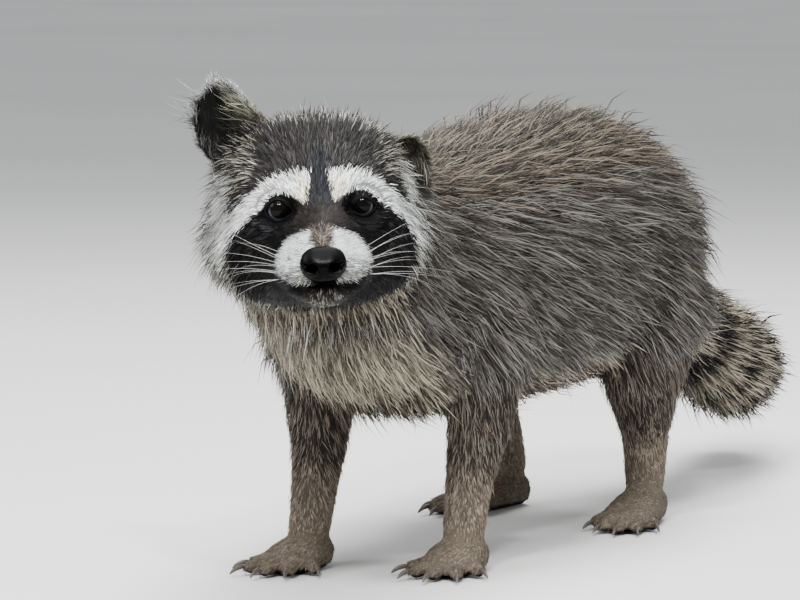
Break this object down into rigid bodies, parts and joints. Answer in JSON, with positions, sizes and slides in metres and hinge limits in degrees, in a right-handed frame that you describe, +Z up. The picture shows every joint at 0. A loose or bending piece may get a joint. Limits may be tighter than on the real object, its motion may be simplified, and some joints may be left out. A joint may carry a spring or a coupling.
{
  "type": "raccoon",
  "caption": "Life-size adult raccoon standing on all fours, head turned to face forward, right ear pricked, left ear laid back, ringed tail held low behind.",
  "frame": {"origin": "centre of the bounding box at floor level, under the middle of the animal", "axes": "+Z up, -Y the way the head looks, +X the animal's own left side; the body runs back from the head, turned 26 degrees towards +X"},
  "size_m": [0.3796, 0.806, 0.2899],
  "materials": {
    "grizzled_coat": "grizzled grey-brown guard hair over a darker underfur",
    "mask_coat": "short face fur with a black mask, white brow bands and a white muzzle",
    "pale_coat": "short pale grey-buff fur and white hairs",
    "ringed_coat": "long bushy tail fur in dark and buff rings",
    "eye": "wet glossy dark brown, nearly black",
    "nose_leather": "moist pebbled black nose leather",
    "claw": "smooth dark horn"
  },
  "bodies": {
    "root": {"head": "mask_coat", "nose": "nose_leather", "neck": "grizzled_coat", "trunk": "grizzled_coat", "tail": "ringed_coat", "eye_left": "eye", "ear_left": "pale_coat", "foreleg_left": "grizzled_coat", "hindleg_left": "grizzled_coat", "forepaw_left": "pale_coat", "hindpaw_left": "pale_coat", "claw_fore_left_1": "claw", "claw_fore_left_2": "claw", "claw_fore_left_3": "claw", "claw_fore_left_4": "claw", "claw_fore_left_5": "claw", "claw_hind_left_1": "claw", "claw_hind_left_2": "claw", "claw_hind_left_3": "claw", "claw_hind_left_4": "claw", "claw_hind_left_5": "claw", "eye_right": "eye", "ear_right": "pale_coat", "foreleg_right": "grizzled_coat", "hindleg_right": "grizzled_coat", "forepaw_right": "pale_coat", "hindpaw_right": "pale_coat", "claw_fore_right_1": "claw", "claw_fore_right_2": "claw", "claw_fore_right_3": "claw", "claw_fore_right_4": "claw", "claw_fore_right_5": "claw", "claw_hind_right_1": "claw", "claw_hind_right_2": "claw", "claw_hind_right_3": "claw", "claw_hind_right_4": "claw", "claw_hind_right_5": "claw"}
  },
  "joints": []
}
